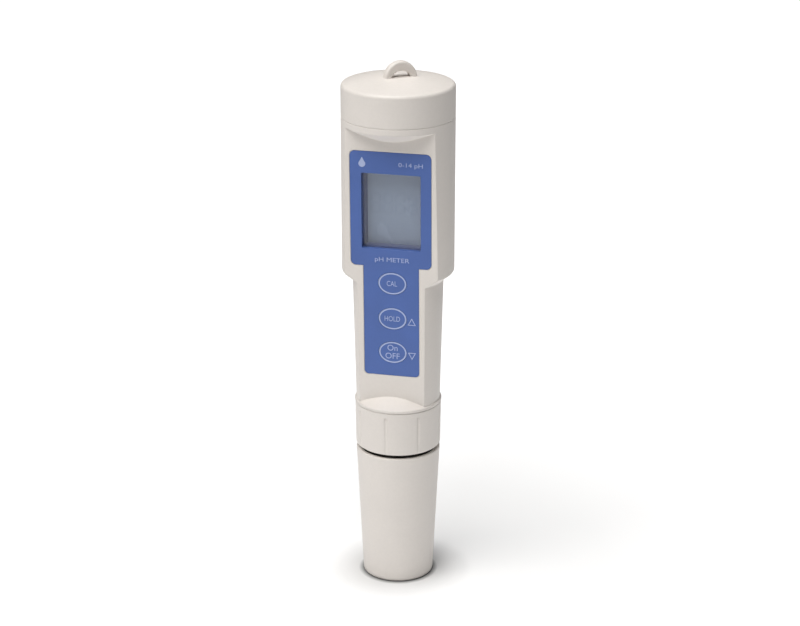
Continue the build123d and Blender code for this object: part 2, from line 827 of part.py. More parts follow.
with BuildPart() as electrode_guard:
    with BuildSketch(profile_plane()):
        with BuildLine():
            Polyline(
                (guard_radius - 1.2, guard_bottom_z),
                (guard_radius - 0.3, guard_bottom_z),
                (guard_radius, guard_bottom_z + 0.5),
                (guard_radius, electrode_step_z - 0.02),
                (guard_radius - 1.2, electrode_step_z - 0.02),
                close=True,
            )
        make_face()
    revolve(axis=Axis.Z)
    # four windows that let the sample reach the bulb
    with BuildSketch(Plane.XY.offset(guard_bottom_z - 1)):
        with PolarLocations(guard_radius, 4, start_angle=45):
            Rectangle(6.0, 4.6)
    extrude(amount=13.0, mode=Mode.SUBTRACT)
electrode_guard.part.label = "electrode_guard"
export_step(electrode_guard.part, "parts/electrode_guard.step")

with BuildPart() as glass_bulb:
    with BuildSketch(profile_plane()):
        with BuildLine():
            stem_start = bulb_centre_z + (bulb_radius**2 - (stem_radius - 0.4) ** 2) ** 0.5
            inner_bulb = bulb_radius - glass_wall
            inner_stem = stem_radius - 0.4 - glass_wall
            inner_start = bulb_centre_z + (inner_bulb**2 - inner_stem**2) ** 0.5
            ThreePointArc(
                (0, bulb_centre_z - bulb_radius),
                (bulb_radius, bulb_centre_z),
                (stem_radius - 0.4, stem_start),
            )
            Polyline(
                (stem_radius - 0.4, stem_start),
                (stem_radius - 0.4, 49.0),
                (inner_stem, 49.0),
                (inner_stem, inner_start),
            )
            ThreePointArc(
                (inner_stem, inner_start),
                (inner_bulb, bulb_centre_z),
                (0, bulb_centre_z - inner_bulb),
            )
            Line((0, bulb_centre_z - inner_bulb), (0, bulb_centre_z - bulb_radius))
        make_face()
    revolve(axis=Axis.Z)
glass_bulb.part.label = "glass_bulb"
export_step(glass_bulb.part, "parts/glass_bulb.step")

with BuildPart() as silver_wire:
    with BuildSketch(Plane.XY.offset(bulb_centre_z - 1)):
        Circle(0.4)
    extrude(amount=29.0)
silver_wire.part.label = "silver_wire"
export_step(silver_wire.part, "parts/silver_wire.step")

with BuildPart() as temperature_sensor:
    with BuildSketch(Plane.XY.offset(18.0)):
        with Locations(sensor_point):
            Circle(1.1)
    extrude(amount=30.0)
    fillet(temperature_sensor.faces().sort_by(Axis.Z)[0].edges(), 1.0)
temperature_sensor.part.label = "temperature_sensor"
export_step(temperature_sensor.part, "parts/temperature_sensor.step")

with BuildPart() as reference_junction:
    with BuildSketch(Plane.XY.offset(partition_z)):
        with Locations(junction_point):
            Circle(1.0)
    extrude(amount=8.0)
reference_junction.part.label = "reference_junction"
export_step(reference_junction.part, "parts/reference_junction.step")

with BuildPart() as electrode_contact_board:
    with BuildSketch(Plane.XY.offset(electrode_plug_top_z + 0.02)):
        with Locations((0, socket_y)):
            Rectangle(12.4, 1.6)
    extrude(amount=10.2)
    chamfer(electrode_contact_board.faces().sort_by(Axis.Z)[-1].edges().filter_by(Axis.X), 0.4)
electrode_contact_board.part.label = "electrode_contact_board"
export_step(electrode_contact_board.part, "parts/electrode_contact_board.step")

electrode_seal = seal_ring(10.2, 0.46, 58.6)
electrode_seal.label = "electrode_seal"
export_step(electrode_seal, "parts/electrode_seal.step")

protective_cap_seal = seal_ring(12.4, 0.8, 44.0)
protective_cap_seal.label = "protective_cap_seal"
export_step(protective_cap_seal, "parts/protective_cap_seal.step")

with BuildPart() as collar_gasket:
    with BuildSketch(profile_plane()):
        with BuildLine():
            Polyline((11.95, 49.0), (13.0, 49.0), (13.3, 49.4), (13.3, 51.1), (11.95, 51.1), close=True)
        make_face()
    revolve(axis=Axis.Z)
collar_gasket.part.label = "collar_gasket"
export_step(collar_gasket.part, "parts/collar_gasket.step")

# ---------------------------------------------------------------- protective cap
cap_wall = 1.5
cap_floor = 2.0
with BuildPart() as protective_cap:
    with BuildSketch(profile_plane()):
        with BuildLine():
            taper = (rim_radius - base_radius) / cap_rim_z
            Polyline(
                (0, 0),
                (base_radius, 0),
                (rim_radius, cap_rim_z),
                (rim_radius - cap_wall, cap_rim_z),
                (base_radius - cap_wall + taper * cap_floor, cap_floor),
                (0, cap_floor),
                close=True,
            )
        make_face()
        base_corner = [v for v in vertices() if v.X > base_radius - 0.1 and v.Y < 0.1]
        fillet(base_corner, 1.0)
        rim_corner = [v for v in vertices() if v.X > rim_radius - 0.1]
        fillet(rim_corner, 0.6)
        rim_corners = vertices().filter_by_position(Axis.Y, cap_rim_z - 0.1, cap_rim_z + 0.1)
        inner_rim_corner = [v for v in rim_corners if v.X < rim_radius - cap_wall + 0.1]
        fillet(inner_rim_corner, 0.3)
        floor_corner = [v for v in vertices() if abs(v.Y - cap_floor) < 0.1 and v.X > 5]
        fillet(floor_corner, 1.0)
    revolve(axis=Axis.Z)
protective_cap.part.label = "protective_cap"
export_step(protective_cap.part, "parts/protective_cap.step")

with BuildPart() as storage_sponge:
    with BuildSketch(Plane.XY.offset(cap_floor + 0.02)):
        Circle(9.6)
    extrude(amount=10.5)
    fillet(storage_sponge.faces().sort_by(Axis.Z)[-1].edges(), 1.0)
storage_sponge.part.label = "storage_sponge"
export_step(storage_sponge.part, "parts/storage_sponge.step")
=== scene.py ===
# %% [markdown]
# # A pen-type pH meter around its CAD frame
#
# The real object is a moulded shell in off-white plastic with a printed film on its flat front, a
# grey display behind a clear pane, a screw cap over the batteries, and an electrode under a
# protective cap. The CAD model already has each of those parts in its place and at full scale, so
# this lesson adds what CAD can't say: finishes, printing, the storage sponge, light and a camera.

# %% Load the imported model
import json
from math import cos, pi, radians, sin

import bmesh
import bpy
from mathutils import Matrix, Vector


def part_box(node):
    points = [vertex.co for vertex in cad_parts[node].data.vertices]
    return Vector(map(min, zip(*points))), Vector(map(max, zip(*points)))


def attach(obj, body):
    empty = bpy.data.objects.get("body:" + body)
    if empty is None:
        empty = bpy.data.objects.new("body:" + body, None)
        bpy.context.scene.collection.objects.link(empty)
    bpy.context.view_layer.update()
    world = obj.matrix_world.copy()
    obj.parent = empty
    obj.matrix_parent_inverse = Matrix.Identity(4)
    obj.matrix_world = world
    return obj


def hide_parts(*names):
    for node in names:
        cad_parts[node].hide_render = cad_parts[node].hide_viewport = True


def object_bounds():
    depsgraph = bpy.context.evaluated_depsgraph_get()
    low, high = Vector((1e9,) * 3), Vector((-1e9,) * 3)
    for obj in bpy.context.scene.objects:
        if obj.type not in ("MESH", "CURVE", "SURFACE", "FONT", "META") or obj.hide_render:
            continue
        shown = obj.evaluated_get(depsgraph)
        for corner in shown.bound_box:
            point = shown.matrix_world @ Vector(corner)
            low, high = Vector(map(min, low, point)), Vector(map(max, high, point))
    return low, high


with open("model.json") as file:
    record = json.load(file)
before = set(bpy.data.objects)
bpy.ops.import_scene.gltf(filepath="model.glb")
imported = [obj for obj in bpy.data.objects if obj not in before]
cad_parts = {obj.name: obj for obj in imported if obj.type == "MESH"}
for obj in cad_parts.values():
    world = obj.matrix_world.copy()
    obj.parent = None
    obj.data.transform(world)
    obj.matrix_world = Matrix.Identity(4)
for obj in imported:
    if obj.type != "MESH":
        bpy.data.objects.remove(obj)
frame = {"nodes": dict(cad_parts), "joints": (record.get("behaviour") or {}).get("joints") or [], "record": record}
cad_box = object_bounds()
mm = 0.001

# %% [markdown]
# ## Camera
#
# The meter is looked at from a little above and a little to its right, with a long lens, as small
# products usually are. A long lens keeps the upright sides nearly parallel. The camera comes
# before everything else, so that every later step can be judged through it.

# %% Camera
camera_distance = 0.740      # metres along the floor, from the meter's axis
camera_height = 0.3678
camera_azimuth = radians(13.40)
camera_pitch = radians(19.853)

camera_data = bpy.data.cameras.new("camera")
camera_data.lens = 98.83
camera_data.sensor_width = 36.0
camera_data.shift_x = 0.00225
camera_data.clip_start = 0.01
camera = bpy.data.objects.new("camera", camera_data)
camera.location = (
    camera_distance * sin(camera_azimuth),
    -camera_distance * cos(camera_azimuth),
    camera_height,
)
camera.rotation_euler = (pi / 2 - camera_pitch, 0.0, camera_azimuth)
bpy.context.scene.collection.objects.link(camera)
bpy.context.scene.camera = camera
bpy.context.scene.view_settings.view_transform = "Standard"
print("camera at", [round(c, 3) for c in camera.location])

# %% [markdown]
# ## Small tools for shader nodes
#
# A material is a graph of nodes. Written out one link at a time it is long and hard to read, so
# these helpers make a node and fill its sockets in one call: a value becomes the socket's own
# value, and another node's output becomes a link.

# %% Helpers for node graphs
def fill(tree, socket, value):
    """Gives an input socket a value, or links it to another node's output."""
    if isinstance(value, bpy.types.NodeSocket):
        tree.links.new(value, socket)
    else:
        socket.default_value = value


def add_node(tree, kind, inputs=None, **properties):
    """Adds a shader node; inputs are its sockets by name, and properties are its own settings."""
    made = tree.nodes.new("ShaderNode" + kind)
    for name, value in properties.items():
        setattr(made, name, value)
    for name, value in (inputs or {}).items():
        fill(tree, made.inputs[name], value)
    return made


def calculate(tree, operation, *values, clamp=False):
    """A Math node's result."""
    made = add_node(tree, "Math", operation=operation, use_clamp=clamp)
    for socket, value in zip(made.inputs, values):
        fill(tree, socket, value)
    return made.outputs[0]


def mix_colours(tree, factor, first, second, blend="MIX"):
    """A colour Mix node's result. Its colour sockets come after its number and vector ones."""
    made = add_node(tree, "Mix", data_type="RGBA", blend_type=blend)
    fill(tree, made.inputs[0], factor)
    fill(tree, made.inputs[6], first)
    fill(tree, made.inputs[7], second)
    return made.outputs[2]


def rescale(tree, value, from_low, from_high, to_low, to_high):
    """A value moved from one range to another, and held inside it."""
    made = add_node(tree, "MapRange", {"Value": value})
    made.inputs["From Min"].default_value = from_low
    made.inputs["From Max"].default_value = from_high
    made.inputs["To Min"].default_value = to_low
    made.inputs["To Max"].default_value = to_high
    return made.outputs["Result"]


def object_place(tree):
    """Object coordinates: each piece sits at the origin, so these are metres in the shared frame."""
    return add_node(tree, "TexCoord").outputs["Object"]


def screen_colour(red, green, blue):
    """A colour as a screen shows it, 0 to 255, in the linear values that shaders work with."""
    return (*(((c / 255 + 0.055) / 1.055) ** 2.4 for c in (red, green, blue)), 1.0)


print("node helpers ready")

# %% [markdown]
# ## Shared effects as node groups
#
# Moulded plastic is never perfectly even: the mould leaves a fine grain, the colour drifts a
# little, corners are rubbed smooth and dust settles on what faces up. Several materials need the
# same effects, so each is built once as a group with named inputs. A group hands out only masks,
# colours, heights and normals, and the shader itself stays in the material.

# %% A helper that starts a group
def start_group(name, inputs, outputs):
    """A new group with its sockets; returns the tree, its inputs' outputs and its outputs' inputs."""
    tree = bpy.data.node_groups.new(name, "ShaderNodeTree")
    for socket_name, kind, value in inputs:
        made = tree.interface.new_socket(socket_name, in_out="INPUT", socket_type="NodeSocket" + kind)
        made.default_value = value
    for socket_name, kind in outputs:
        tree.interface.new_socket(socket_name, in_out="OUTPUT", socket_type="NodeSocket" + kind)
    return tree, tree.nodes.new("NodeGroupInput").outputs, tree.nodes.new("NodeGroupOutput").inputs


def use_group(tree, group, **inputs):
    """Places a group in a material, with its inputs by name, where _ stands for a space."""
    made = tree.nodes.new("ShaderNodeGroup")
    made.node_tree = group
    for name, value in inputs.items():
        fill(tree, made.inputs[name.replace("_", " ")], value)
    return made.outputs


print("group helpers ready")

# %% [markdown]
# ### Grain
#
# The mould of such a case is spark-eroded, which leaves rounded bumps about a fifth of a
# millimetre wide. Two noises give them: a coarse one for the bumps and a finer one on top. A slow
# third one bends the surface slightly, as plastic shrinks over the ribs behind it.

# %% Grain group
grain, given, out = start_group(
    "moulded_grain",
    [("Scale", "Float", 4200.0), ("Waviness", "Float", 0.3)],
    [("Height", "Float")],
)
place = object_place(grain)
bumps = add_node(grain, "TexNoise", {"Vector": place, "Scale": given["Scale"], "Detail": 2.0})
specks_scale = calculate(grain, "MULTIPLY", given["Scale"], 2.7)
specks = add_node(grain, "TexNoise", {"Vector": place, "Scale": specks_scale, "Detail": 1.0})
waves = add_node(grain, "TexNoise", {"Vector": place, "Scale": 90.0, "Detail": 1.0})
fine = calculate(grain, "MULTIPLY_ADD", specks.outputs["Fac"], 0.4, bumps.outputs["Fac"])
wavy = calculate(grain, "MULTIPLY_ADD", waves.outputs["Fac"], given["Waviness"], fine)
fill(grain, out["Height"], wavy)
print(grain.name, "has", len(grain.nodes), "nodes")

# %% [markdown]
# ### Colour drift
#
# Pigment isn't spread quite evenly, and handling darkens some places more than others. A slow
# noise makes broad patches and a fast one makes faint mottling. Both only multiply the colour by
# a factor near one, so that the finish stays recognisably one colour.

# %% Colour drift group
drift, given, out = start_group(
    "colour_drift",
    [("Color", "Color", (0.8, 0.8, 0.8, 1.0)), ("Amount", "Float", 0.06), ("Scale", "Float", 45.0)],
    [("Color", "Color"), ("Patches", "Float")],
)
place = object_place(drift)
patches = add_node(drift, "TexNoise", {"Vector": place, "Scale": given["Scale"], "Detail": 3.0})
mottle_scale = calculate(drift, "MULTIPLY", given["Scale"], 22.0)
mottle = add_node(drift, "TexNoise", {"Vector": place, "Scale": mottle_scale, "Detail": 2.0})
both = calculate(drift, "MULTIPLY_ADD", mottle.outputs["Fac"], 0.5, patches.outputs["Fac"])
swing = calculate(drift, "MULTIPLY", calculate(drift, "SUBTRACT", both, 0.75), given["Amount"])
factor = calculate(drift, "ADD", calculate(drift, "MULTIPLY", swing, 2.0), 1.0)
scaled = add_node(drift, "VectorMath", operation="SCALE")
fill(drift, scaled.inputs[0], given["Color"])
fill(drift, scaled.inputs["Scale"], factor)
fill(drift, out["Color"], scaled.outputs[0])
fill(drift, out["Patches"], patches.outputs["Fac"])
print(drift.name, "has", len(drift.nodes), "nodes")

# %% [markdown]
# ### Rubbed edges and painted edge highlights
#
# Corners meet fingers and pockets first, so they are polished and a little lighter. Where an edge
# is could be painted by hand, but a Bevel node finds it by itself: it gives the normal that a
# rounded corner would have, and where that differs from the real normal there is an edge. The
# printed film uses the same mask to paint a pale highlight along its cut edges.

# %% Rubbed edge and painted highlight group
edge_wear_and_highlight, given, out = start_group(
    "edge_wear_and_painted_highlight",
    [("Radius", "Float", 0.4 * mm), ("Strength", "Float", 1.0)],
    [("Mask", "Float"), ("Normal", "Vector")],
)
rounded = add_node(edge_wear_and_highlight, "Bevel", {"Radius": given["Radius"]}, samples=6)
facing = add_node(edge_wear_and_highlight, "VectorMath", operation="DOT_PRODUCT")
fill(edge_wear_and_highlight, facing.inputs[0], rounded.outputs["Normal"])
fill(edge_wear_and_highlight, facing.inputs[1], add_node(edge_wear_and_highlight, "NewGeometry").outputs["Normal"])
bent = calculate(edge_wear_and_highlight, "SUBTRACT", 1.0, facing.outputs["Value"])
patchy = add_node(edge_wear_and_highlight, "TexNoise", {"Vector": object_place(edge_wear_and_highlight), "Scale": 420.0, "Detail": 3.0})
broken = rescale(edge_wear_and_highlight, patchy.outputs["Fac"], 0.35, 0.65, 0.35, 1.0)
strong = calculate(edge_wear_and_highlight, "MULTIPLY", calculate(edge_wear_and_highlight, "MULTIPLY", bent, given["Strength"]), broken)
fill(edge_wear_and_highlight, out["Mask"], calculate(edge_wear_and_highlight, "MULTIPLY", strong, 3.0, clamp=True))
fill(edge_wear_and_highlight, out["Normal"], rounded.outputs["Normal"])
print(edge_wear_and_highlight.name, "has", len(edge_wear_and_highlight.nodes), "nodes")

# %% [markdown]
# ### Settled dust
#
# Dust lies on what faces up and clings in patches. The upward share of the normal says where it
# can lie, and a noise breaks it up. The amount stays low, because this meter is clean.

# %% Dust group
dust, given, out = start_group("settled_dust", [("Amount", "Float", 0.1)], [("Mask", "Float")])
upward = add_node(dust, "SeparateXYZ", {"Vector": add_node(dust, "NewGeometry").outputs["Normal"]})
shelf = rescale(dust, upward.outputs["Z"], 0.3, 1.0, 0.0, 1.0)
clumps = add_node(dust, "TexNoise", {"Vector": object_place(dust), "Scale": 700.0, "Detail": 4.0})
patchy = rescale(dust, clumps.outputs["Fac"], 0.45, 0.7, 0.0, 1.0)
lying = calculate(dust, "MULTIPLY", shelf, patchy)
fill(dust, out["Mask"], calculate(dust, "MULTIPLY", lying, given["Amount"], clamp=True))
print(dust.name, "has", len(dust.nodes), "nodes")

# %% [markdown]
# ## Finishes
#
# The record names one material slot for each finish, and several parts share a slot. So there is
# one material per slot, and a function for each kind of finish that more than one slot needs. Each
# finish starts from a blank material with one Principled shader, which every later step only feeds.

# %% A blank material and the plastic finish
materials = {}


def start_material(name, **inputs):
    """A new material; returns it, its tree and its Principled shader, with uniform values set."""
    made = bpy.data.materials.new(name)
    made.use_nodes = True
    tree = made.node_tree
    shader = tree.nodes["Principled BSDF"]
    for socket_name, value in inputs.items():
        shader.inputs[socket_name.replace("_", " ")].default_value = value
    materials[name] = made
    return made, tree, shader


def plastic(name, colour, roughness, grain_scale=4200.0, grain_depth=0.012, drifting=0.05,
            rub=0.5, rub_lift=1.25, dusty=0.05, edge_radius=0.35 * mm, **uniform):
    """Moulded plastic or rubber: drifting colour, grain, rubbed edges and a little dust."""
    made, tree, shader = start_material(name, **uniform)
    tone = use_group(tree, drift, Color=colour, Amount=drifting)
    edge = use_group(tree, edge_wear_and_highlight, Radius=edge_radius, Strength=rub)
    lying = use_group(tree, dust, Amount=dusty)
    lighter = (*(min(1.0, c * rub_lift + 0.01) for c in colour[:3]), 1.0)
    worn = mix_colours(tree, edge["Mask"], tone["Color"], lighter)
    dusted = mix_colours(tree, lying["Mask"], worn, screen_colour(196, 190, 180))
    fill(tree, shader.inputs["Base Color"], dusted)
    uneven = rescale(tree, tone["Patches"], 0.3, 0.7, roughness - 0.04, roughness + 0.05)
    polished = calculate(tree, "MULTIPLY_ADD", edge["Mask"], -0.12, uneven)
    fill(tree, shader.inputs["Roughness"], calculate(tree, "ADD", polished, lying["Mask"], clamp=True))
    surface = use_group(tree, grain, Scale=grain_scale)
    bump = add_node(tree, "Bump", {"Height": surface["Height"], "Distance": grain_depth * mm})
    fill(tree, bump.inputs["Normal"], edge["Normal"])
    fill(tree, shader.inputs["Normal"], bump.outputs["Normal"])
    return made


plastic("off_white_plastic", screen_colour(234, 228, 222), 0.42, rub_lift=1.04, edge_radius=0.5 * mm)
plastic("black_plastic", screen_colour(44, 44, 48), 0.5, drifting=0.12, dusty=0.1)
plastic("slate_plastic", screen_colour(84, 92, 128), 0.45, drifting=0.1, dusty=0.05)
plastic("dark_plastic", screen_colour(62, 62, 66), 0.4, drifting=0.1)
plastic("grey_plastic", screen_colour(186, 186, 184), 0.5, rub_lift=1.1)
plastic("electrode_black", screen_colour(40, 40, 43), 0.3, grain_scale=2600.0, grain_depth=0.006)
plastic("black_rubber", screen_colour(37, 30, 27), 0.62, grain_depth=0.02, drifting=0.2,
        dusty=0.25, rub=0.2)
plastic("silicone", screen_colour(190, 190, 186), 0.6, drifting=0.08, rub=0.1, Subsurface_Weight=0.15,
        Subsurface_Radius=(0.8, 0.8, 0.7), Subsurface_Scale=1.5 * mm)
print("plastics:", sorted(materials))

# %% [markdown]
# ### Printed film
#
# The label is a polyester film printed from behind, so its blue lies under a fine satin texture
# that scatters the light. The texture is finer than the moulded grain, and the ink shows a faint
# unevenness where the squeegee passed. The ink that is left open forms the pale lettering, which
# here is a thin layer of its own.

# %% Film, ink and display
def film(name, colour, roughness, drifting, texture_depth):
    """A printed film: almost even ink under a very fine satin surface, with a painted pale highlight along its
    edges.
    """
    made, tree, shader = start_material(name, Coat_Weight=0.0)
    tone = use_group(tree, drift, Color=colour, Amount=drifting, Scale=120.0)
    edge = use_group(tree, edge_wear_and_highlight, Radius=0.08 * mm, Strength=0.3)
    # Painted highlight: the edge mask lightens the ink to a pale blue along the cut edges, as if they caught the
    # light.
    ink_with_painted_highlight = mix_colours(tree, edge["Mask"], tone["Color"], screen_colour(150, 170, 220))
    fill(tree, shader.inputs["Base Color"], ink_with_painted_highlight)
    uneven = rescale(tree, tone["Patches"], 0.3, 0.7, roughness - 0.03, roughness + 0.04)
    fill(tree, shader.inputs["Roughness"], uneven)
    surface = use_group(tree, grain, Scale=9000.0, Waviness=0.6)
    bump = add_node(tree, "Bump", {"Height": surface["Height"], "Distance": texture_depth * mm})
    fill(tree, bump.inputs["Normal"], edge["Normal"])
    fill(tree, shader.inputs["Normal"], bump.outputs["Normal"])
    return made


film("label_blue", screen_colour(78, 108, 178), 0.45, 0.10, 0.004)
film("label_ink", screen_colour(180, 194, 232), 0.45, 0.05, 0.004)
film("display_grey", screen_colour(151, 161, 178), 0.24, 0.07, 0.002)
film("display_ghost", screen_colour(147, 157, 174), 0.24, 0.07, 0.002)
print("films:", [n for n in materials if n.startswith(("label", "display"))])

# %% [markdown]
# ### Clear pane and glass
#
# Real glass bends what is behind it, and the Principled shader does that with full transmission.
# Cycles finds it hard to send lamp light through such glass, so what is behind would be too dark.
# The usual cure is the Light Path node: it lets rays that look for a lamp, and rays that matt
# surfaces scatter, pass straight through.

# %% Glass finish
def glass(name, tint, ior, smear):
    """Clear glass or acrylic, with faint smears in its roughness, that lets lamps shine through."""
    made, tree, shader = start_material(name, Transmission_Weight=1.0, IOR=ior)
    tone = use_group(tree, drift, Color=tint, Amount=0.02, Scale=70.0)
    fill(tree, shader.inputs["Base Color"], tone["Color"])
    fill(tree, shader.inputs["Roughness"], rescale(tree, tone["Patches"], 0.4, 0.75, 0.0, smear))
    clear = add_node(tree, "BsdfTransparent", {"Color": tint})
    path = add_node(tree, "LightPath").outputs
    unseen = calculate(tree, "MAXIMUM", path["Is Shadow Ray"], path["Is Diffuse Ray"])
    mixed = add_node(tree, "MixShader")
    fill(tree, mixed.inputs[0], unseen)
    fill(tree, mixed.inputs[1], shader.outputs[0])
    fill(tree, mixed.inputs[2], clear.outputs[0])
    fill(tree, tree.nodes["Material Output"].inputs["Surface"], mixed.outputs[0])
    return made


glass("clear_pane", screen_colour(246, 249, 252), 1.49, 0.04)
glass("bulb_glass", screen_colour(240, 248, 248), 1.47, 0.02)
print("glass:", materials["clear_pane"].name, materials["bulb_glass"].name)

# %% [markdown]
# ### Metals, board and small components
#
# Plated metal is bright, with fine lines where it was drawn or punched and a faint tarnish. A
# stretched noise gives the lines and a slow noise the tarnish. The board is green solder mask
# over copper tracks, and the mask lies slightly proud over each track, so the tracks show both
# as a lighter green and as a low relief.

# %% Metal finish
def metal(name, colour, tarnish, roughness, line_scale):
    """Plated metal with drawn lines and a little tarnish."""
    made, tree, shader = start_material(name, Metallic=1.0)
    tone = use_group(tree, drift, Color=colour, Amount=0.08, Scale=260.0)
    dull = rescale(tree, tone["Patches"], 0.5, 0.72, 0.0, 0.6)
    fill(tree, shader.inputs["Base Color"], mix_colours(tree, dull, tone["Color"], tarnish))
    stretch = add_node(tree, "Mapping", {"Vector": object_place(tree), "Scale": (1.0, 1.0, 14.0)})
    drawn = {"Vector": stretch.outputs[0], "Scale": line_scale, "Detail": 3.0}
    lines = add_node(tree, "TexNoise", drawn)
    rough = rescale(tree, lines.outputs["Fac"], 0.3, 0.7, roughness - 0.08, roughness + 0.1)
    fill(tree, shader.inputs["Roughness"], rough)
    edge = use_group(tree, edge_wear_and_highlight, Radius=0.12 * mm, Strength=0.2)
    bump = add_node(tree, "Bump", {"Height": lines.outputs["Fac"], "Distance": 0.002 * mm})
    fill(tree, bump.inputs["Normal"], edge["Normal"])
    fill(tree, shader.inputs["Normal"], bump.outputs["Normal"])
    return made


metal("nickel_steel", screen_colour(214, 211, 204), screen_colour(150, 143, 130), 0.26, 900.0)
metal("gold_plated", screen_colour(233, 190, 100), screen_colour(180, 130, 66), 0.24, 1200.0)
metal("silver", screen_colour(222, 220, 216), screen_colour(96, 90, 88), 0.34, 1500.0)
print("metals ready")

# %% Ceramic finish
def ceramic(name, colour, roughness, pore_scale):
    """Fired ceramic: slightly darker pores and a matt or slightly glossy skin."""
    made, tree, shader = start_material(name)
    tone = use_group(tree, drift, Color=colour, Amount=0.12, Scale=300.0)
    cells = add_node(tree, "TexVoronoi", {"Vector": object_place(tree), "Scale": pore_scale})
    pores = rescale(tree, cells.outputs["Distance"], 0.0, 0.35, 0.75, 1.0)
    fill(tree, shader.inputs["Base Color"], mix_colours(tree, 1.0, tone["Color"], pores, "MULTIPLY"))
    uneven = rescale(tree, tone["Patches"], 0.3, 0.7, roughness, roughness + 0.1)
    fill(tree, shader.inputs["Roughness"], uneven)
    bump = add_node(tree, "Bump", {"Height": pores, "Distance": 0.01 * mm})
    fill(tree, shader.inputs["Normal"], bump.outputs["Normal"])
    return made


ceramic("capacitor_tan", screen_colour(186, 152, 112), 0.35, 2500.0)
ceramic("ceramic_white", screen_colour(236, 232, 222), 0.7, 5200.0)

# %% Board and chip finish
made, tree, shader = start_material("circuit_board", Coat_Weight=0.3, Coat_Roughness=0.15)
place = object_place(tree)
straight = add_node(tree, "Mapping", {"Vector": place, "Rotation": (pi / 2, 0.0, 0.0)})
tracks = add_node(tree, "TexBrick", {"Vector": straight.outputs[0], "Scale": 160.0, "Mortar Size": 0.03})
tracks.inputs["Color1"].default_value = (1.0, 1.0, 1.0, 1.0)
tracks.inputs["Color2"].default_value = (1.0, 1.0, 1.0, 1.0)
tracks.inputs["Mortar"].default_value = (0.0, 0.0, 0.0, 1.0)
tone = use_group(tree, drift, Color=screen_colour(26, 96, 60), Amount=0.08, Scale=120.0)
over_copper = use_group(tree, drift, Color=screen_colour(52, 132, 78), Amount=0.08, Scale=120.0)
fill(tree, shader.inputs["Base Color"],
     mix_colours(tree, tracks.outputs["Fac"], tone["Color"], over_copper["Color"]))
fill(tree, shader.inputs["Roughness"], rescale(tree, tone["Patches"], 0.3, 0.7, 0.3, 0.42))
bump = add_node(tree, "Bump", {"Height": tracks.outputs["Fac"], "Distance": 0.02 * mm})
fill(tree, shader.inputs["Normal"], bump.outputs["Normal"])
plastic("chip_black", screen_colour(38, 38, 40), 0.55, grain_scale=7000.0, drifting=0.1)
print("all finishes:", len(materials))

# %% [markdown]
# ### Sponge finish
#
# Cellulose sponge is full of open cells. A Voronoi pattern gives round cells of about a
# millimetre, with painted shade that darkens them where they are deep, and the same pattern drives
# the bump, so that colour and relief agree.

# %% Sponge finish
made, tree, shader = start_material("sponge", Subsurface_Weight=0.2, Subsurface_Scale=2.0 * mm)
tone = use_group(tree, drift, Color=screen_colour(226, 206, 130), Amount=0.14, Scale=180.0)
cells = add_node(tree, "TexVoronoi", {"Vector": object_place(tree), "Scale": 1100.0, "Randomness": 1.0})
open_cells = rescale(tree, cells.outputs["Distance"], 0.1, 0.5, 0.0, 1.0)
# Painted shade: each cell is darkened towards its middle, where it is deep.
fill(tree, shader.inputs["Base Color"],
     mix_colours(tree, open_cells, screen_colour(150, 122, 62), tone["Color"]))
fill(tree, shader.inputs["Roughness"], rescale(tree, open_cells, 0.0, 1.0, 0.95, 0.8))
bump = add_node(tree, "Bump", {"Height": open_cells, "Distance": 0.25 * mm})
fill(tree, shader.inputs["Normal"], bump.outputs["Normal"])
print("sponge finish ready")

# %% [markdown]
# ### Give each CAD part its finish
#
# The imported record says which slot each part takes, so nothing is matched by hand here. A CAD
# part's mesh isn't touched: only the material in its slots changes.

# %% Assign by slot
for part in frame["record"]["subparts"]:
    mesh = frame["nodes"][part["node"]].data
    mesh.materials.clear()
    mesh.materials.append(materials[part["material_slot"]])

# %% [markdown]
# ## Printing on the front
#
# The lettering, the rings round the keys and the small signs are ink a fiftieth of a millimetre
# thick. They could be drawn in the material, but crisp edges at any distance come more easily
# from thin pieces of their own. They lie on the film, whose outer face is a plane that leans a
# little, so first comes a matrix that lays things flat on it.

# %% A matrix for the leaning front
inward = Vector(next(j["axis"] for j in frame["joints"] if j["name"] == "cal_key_press"))
outward = -inward.normalized()
across = Vector((1.0, 0.0, 0.0))
upward_on_face = outward.cross(across)
ink_thickness = 0.02 * mm


def front_of(node):
    """How far out a part's outermost face lies, measured along the front's own direction."""
    return max(outward.dot(v.co) for v in frame["nodes"][node].data.vertices)


def on_front(x, z, front):
    """The matrix that lays a flat mesh on the front: its x runs across, its y up, its z out."""
    y = (front - outward.z * z) / outward.y
    turned = Matrix((across, upward_on_face, outward)).transposed().to_4x4()
    return Matrix.Translation((x, y, z)) @ turned


film_front = front_of("label_film")
print("film face leans by", round(outward.z / outward.y, 4))

# %% [markdown]
# ### Outlines and letters
#
# Each sign starts as a flat outline: a ring is a circle that is stretched, inset by the line's
# width and opened in the middle, then given a thickness. Letters start as a text curve, which is
# turned into a mesh before it is fitted to its size and laid in place.

# %% Tools for flat signs
def keep_piece(name, bm, matrix, body, finish):
    """Turns a bmesh into a finished piece: placed in its mesh, merged, outward and riding."""
    bmesh.ops.transform(bm, matrix=matrix, verts=bm.verts)
    bmesh.ops.remove_doubles(bm, verts=bm.verts, dist=0.0005 * mm)
    bmesh.ops.recalc_face_normals(bm, faces=bm.faces)
    mesh = bpy.data.meshes.new(name)
    bm.to_mesh(mesh)
    bm.free()
    mesh.materials.append(materials[finish])
    piece = bpy.data.objects.new(name, mesh)
    bpy.context.scene.collection.objects.link(piece)
    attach(piece, body)
    return piece


def corners_of(bm):
    """A bmesh's lowest and highest corners."""
    low = Vector([min(v.co[i] for v in bm.verts) for i in range(3)])
    high = Vector([max(v.co[i] for v in bm.verts) for i in range(3)])
    return low, high


